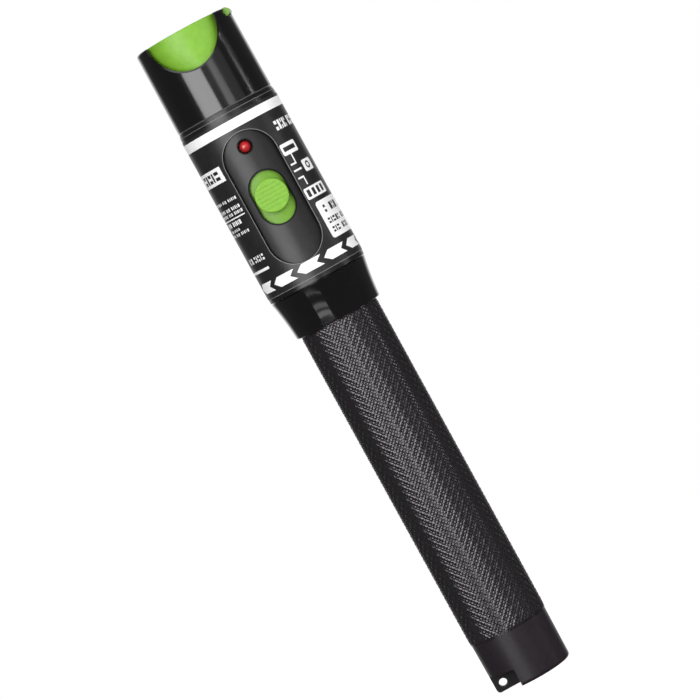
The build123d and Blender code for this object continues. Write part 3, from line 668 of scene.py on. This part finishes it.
def words(left, right, low, high, letter, gap, paint=INK, lengths=(5, 3, 7, 4)):
    """A row of plain blocks in place of a line of print, from right to left. In a tall row every
    other block is split into two dashes."""
    row, at, left_in_word, word, count = [], along(right), lengths[0], 0, 0
    while at - letter > along(left):
        width = letter * (1, 0.4, 0.8, 0.55, 0.9)[count % 5]
        dash = (high - low) * 0.36
        split = high - low > 1.2 and count % 2 == 0
        for foot, head in ((low, low + dash), (high - dash, high)) if split else ((low, high),):
            row.append((rounded_box(at - width, at, foot, head), paint))
        at -= width + gap
        count += 1
        left_in_word -= 1
        if left_in_word == 0:
            word += 1
            left_in_word = lengths[word % len(lengths)]
            at -= letter
    return row


arrow_count = 11
arrow_low, arrow_high = 110.6, 113.15
arrow_pitch = 360 / arrow_count
prints = [(bar(-180, 180, label_low, label_low + 0.12), EDGE)]
prints.append((front_outline(stadium(panel_length, panel_width, panel_centre, grow=0.13), label_r), EDGE))
for k in range(arrow_count):
    centre = -180 + arrow_pitch * (k + 0.5)
    middle = (arrow_low + arrow_high) / 2
    tip, neck, notch, barb = centre - 15.7, centre - 8.0, centre + 8.0, centre + 15.0
    prints.append(([
        (along(tip), middle), (along(neck), arrow_low), (along(barb), arrow_low),
        (along(notch), middle), (along(barb), arrow_high), (along(neck), arrow_high),
    ], INK))
prints.append((bar(-96, -37, 138.85, 142.6), INK))
prints += words(-94, -42.6, 139.6, 141.85, 1.6, 0.4, FILM)
prints += words(-92, -36.5, 134.05, 134.75, 0.5, 0.28)
prints += words(-95, -37.5, 131.95, 132.75, 0.5, 0.28)
prints += words(-95, -36.8, 130.75, 131.5, 0.5, 0.28)
prints.append((bar(-96, -36.5, 129.9, 130.2), INK))
prints += words(-88, -46.4, 128.3, 129.4, 0.75, 0.26)
prints += words(-84, -55, 127.0, 127.6, 0.45, 0.3)
prints += words(-90, -42.5, 125.8, 126.5, 0.5, 0.32)
prints += words(-78, -42, 118.3, 119.8, 0.6, 0.4)
prints.append((bar(-98, -43, 115.8, 116.45), INK))
prints += words(39, 92, 143.3, 145.7, 0.9, 0.28, lengths=(6, 5))
plates = (
    (33.5, 57.5, 137.1, 140.0, 0.45), (50.8, 69, 131.6, 134.6, 0.45), (33.5, 69.5, 125.35, 128.25, 0.45),
    (38.6, 118, 114.7, 124.2, 0.75),
)
prints += [(bar(*plate), INK) for plate in plates]
prints.append((bar(36.3, 54.7, 138.0, 139.1), FILM))
prints.append((arc_points(along(59.5), 133.1, 0.95, 0, 345, 23), FILM))
prints.append((arc_points(along(59.5), 133.1, 0.5, 0, 345, 23), INK))
prints += [(bar(left, left + 4.6, 125.9, 127.7), FILM) for left in (36.5, 44.3, 52.1, 59.9)]
prints += words(42, 112, 121.0, 122.9, 1.4, 0.35, FILM)
prints += words(42, 112, 118.2, 119.6, 1.0, 0.3, FILM)
prints += words(42, 112, 115.9, 117.3, 1.0, 0.3, FILM, (6, 4))
prints.append((bar(34.9, 46.8, 132.75, 133.2), INK))
for outline in (
    ((43.9, 137.1), (43.9, 134.45), (35.2, 134.45), (35.2, 134.87), (42.2, 134.87), (42.2, 137.1)),
    ((35.2, 131.2), (43.9, 131.2), (43.9, 128.9), (42.2, 128.9), (42.2, 130.78), (35.2, 130.78)),
):
    prints.append(([(along(u), v) for u, v in outline], INK))
prints.append((bar(-180, 180, 148.5, 150.8), INK))
label_sheet = bar(-180, 180, label_low, label_high)
panel_cut = front_outline(stadium(panel_length, panel_width, panel_centre), label_r)
label_film = finish("label_film", (0.0145, 0.0135, 0.0145), 0.33, 0.4, 0.0008)
label_ink = finish("label_ink", (0.9, 0.89, 0.9), 0.4, 0.3, 0.0008, drift=0.02)
label_edge = finish("label_edge", (0.2, 0.2, 0.2), 0.4, 0.3, 0.001)
label_mesh = wrapped("wrap_label_film", label_sheet, [panel_cut], prints, label_r)
label_mesh = thicken(label_mesh, label_thick, EDGE)
place_mesh("wrap_label_film", label_mesh, [label_film, label_ink, label_edge], "head", "label_film",
           "wrap_label")


# Switch panel: a thin matte black plate, curved to the body, glued on the pocket's ledge. The step round its
# slot and the edge of its lamp hole are painted near black and dull, as painted shadow.
panel_black = finish("panel_black", (0.0115, 0.0108, 0.0118), 0.36, 0.2, 0.004)
slot_edge_r, slot_run, slot_z = 4.62, 2.35, 130.2
lamp_edge_r, lamp_z = 1.95, 143.7
shadow_fade = 0.1
tree = panel_black.node_tree
x, y, z = place_mm(tree)
from_middle = reckon(tree, "ABSOLUTE", reckon(tree, "SUBTRACT", z, slot_z))
past_run = reckon(tree, "MAXIMUM", reckon(tree, "SUBTRACT", from_middle, slot_run))
from_lamp = reach(tree, x, reckon(tree, "SUBTRACT", z, lamp_z))
slot_shadow = fade(tree, reach(tree, x, past_run), slot_edge_r, slot_edge_r + shadow_fade)
lamp_shadow = fade(tree, from_lamp, lamp_edge_r, lamp_edge_r + shadow_fade)
# Painted shadow round the slot and the lamp hole.
tint(panel_black, reckon(tree, "MAXIMUM", slot_shadow, lamp_shadow), 0.95)
dress("switch_panel", panel_black)


# Switch button and lever: a green moulded knob with faint ribs, on a curved slider under the panel, and the
# black lever of the slide switch that it moves. Shade is painted in the ribs' grooves and on the slider in
# the slot.
button_green = finish("button_green", (0.2, 0.445, 0.026), 0.42, 0.3, 0.002, drift=0.05)
rib_start, rib_half = 127.6, 0.12
knob_r, slider_r = 12.0, 11.1
tree = button_green.node_tree
x, y, z = place_mm(tree)
from_axis = reach(tree, x, y)
across_rib = reckon(tree, "FRACT", reckon(tree, "SUBTRACT", z, rib_start))
from_rib = reckon(tree, "ABSOLUTE", reckon(tree, "SUBTRACT", across_rib, 0.5))
on_knob = fade(tree, from_axis, knob_r, knob_r - 0.3)
rib_groove_shade = reckon(tree, "MULTIPLY", fade(tree, from_rib, rib_half, rib_half + 0.08), on_knob)
# Painted shade in the grooves between the knob's ribs: darker green stripes.
tint(button_green, rib_groove_shade, 0.16, (0.12, 0.3, 0.02))
# Painted shade: the slider below the knob is darker green, where it lies deep in the slot.
tint(button_green, fade(tree, from_axis, slider_r, slider_r + 0.4), 0.62, (0.1, 0.25, 0.004))
lever_plastic = finish("lever_plastic", (0.03, 0.03, 0.03), 0.45)
dress("switch_button", button_green)
dress("switch_lever", lever_plastic)


# Indicator lamp: a lamp cast in clear red resin, which stands on the circuit board and shows in
# the panel's hole.
lamp_red = finish("lamp_red", (0.46, 0.022, 0.026), 0.12, 0.6, 0.001, drift=0.1,
                  constants={"Coat Weight": 0.5})
dress("indicator_lamp", lamp_red)


# Slide switch case, circuit board, screws and chip: a pressed steel case on a green board, which
# two bright screws hold on the carrier.
case_steel = finish("case_steel", (0.58, 0.58, 0.56), 0.32, 0.3, 0.002, constants={"Metallic": 1.0})
board_green = finish("board_green", (0.02, 0.15, 0.055), 0.3, 0.8, 0.003, drift=0.2)
screw_steel = finish("screw_steel", (0.52, 0.52, 0.52), 0.3, 0.2, 0.002, constants={"Metallic": 1.0})
chip_black = finish("chip_black", (0.02, 0.02, 0.02), 0.55, 0.15, 0.004)
dress("switch_case", case_steel)
dress("circuit_board", board_green)
dress("board_screws", screw_steel)
dress("driver_chip", chip_black)


# Carrier and insulator: moulded in a natural pale plastic. The carrier holds the board and the
# laser, and plated contacts at its foot meet the cells and the tube.
carrier_plastic = finish("carrier_plastic", (0.45, 0.45, 0.43), 0.45, 0.3, 0.004, drift=0.04)
dress("carrier", carrier_plastic)
dress("contact_insulator", carrier_plastic)
dress("front_contact", plated_contact)
dress("ground_ring", plated_contact)


# Laser module: a turned brass housing with the diode's steel can pressed in behind, and a glass
# lens held in front by a brass ring.
laser_brass = finish("laser_brass", (0.62, 0.44, 0.2), 0.28, 0.25, 0.002, constants={"Metallic": 1.0})
lens_glass = finish("lens_glass", (0.9, 0.93, 0.95), 0.02, 0.5, 0.0002,
                    constants={"Transmission Weight": 1.0})
dress("laser_housing", laser_brass)
dress("laser_diode", case_steel)
dress("lens_ring", laser_brass)
dress("focus_lens", lens_glass)


# Ferrule port: a nickel-plated tube that the nut holds in the nose, with a split sleeve of ground
# ceramic inside, where the ferrule goes.
port_plated = finish("port_plated", (0.68, 0.67, 0.63), 0.2, 0.3, 0.0015, constants={"Metallic": 1.0})
sleeve_ceramic = finish("sleeve_ceramic", (0.8, 0.78, 0.72), 0.18, 0.2, 0.001, drift=0.03)
dress("ferrule_port", port_plated)
dress("port_nut", port_plated)
dress("ceramic_sleeve", sleeve_ceramic)


# Nose shell: gloss black and moulded, with a finger scoop in front and behind and an ear for the cap's hinge.
# Its bottom edge is broken, and a grey line along it is a painted highlight.
nose_black = finish("nose_black", (0.003, 0.0028, 0.003), 0.14, 0.5, 0.0008, smear=0.05,
                    constants={"IOR": 1.6, "Coat Weight": 0.3, "Coat Roughness": 0.14})
tree = nose_black.node_tree
drawn = add(tree, "Mapping", Vector=add(tree, "TexCoord").outputs["Object"], Scale=(1.0, 1.0, 0.03))
streaks = add(tree, "TexNoise", Vector=drawn.outputs[0], Scale=520.0, Detail=2.0)
waves = add(tree, "Bump", Height=streaks.outputs["Fac"], Distance=0.06 * MM)
grain_relief = tree.nodes["Principled BSDF"].inputs["Normal"].links[0].from_node
wire(tree, waves.outputs[0], grain_relief.inputs["Normal"])
bottom_edge = 153.82
# Painted highlight: a thin grey line along the broken bottom edge.
tint(nose_black, fade(tree, place_mm(tree)[2], bottom_edge, bottom_edge + 0.06), 0.5, (0.25, 0.25, 0.25))
dress("nose_shell", nose_black)


# Dust cap: a soft green moulding that fills the scoops and swings on a steel pin in the ear. Its flanks are
# painted a deeper green, as painted shade where they meet the scoops' walls.
cap_green = finish("cap_green", (0.197, 0.445, 0.028), 0.4, 0.3, 0.003, drift=0.05)
flank_x, middle_x = 9.5, 4.5
tree = cap_green.node_tree
from_middle = reckon(tree, "ABSOLUTE", place_mm(tree)[0])
# Painted shade: deeper green towards the flanks.
tint(cap_green, fade(tree, from_middle, flank_x, middle_x), 0.42, (0.07, 0.18, 0.004))
dress("dust_cap", cap_green)
dress("hinge_pin", screw_steel)
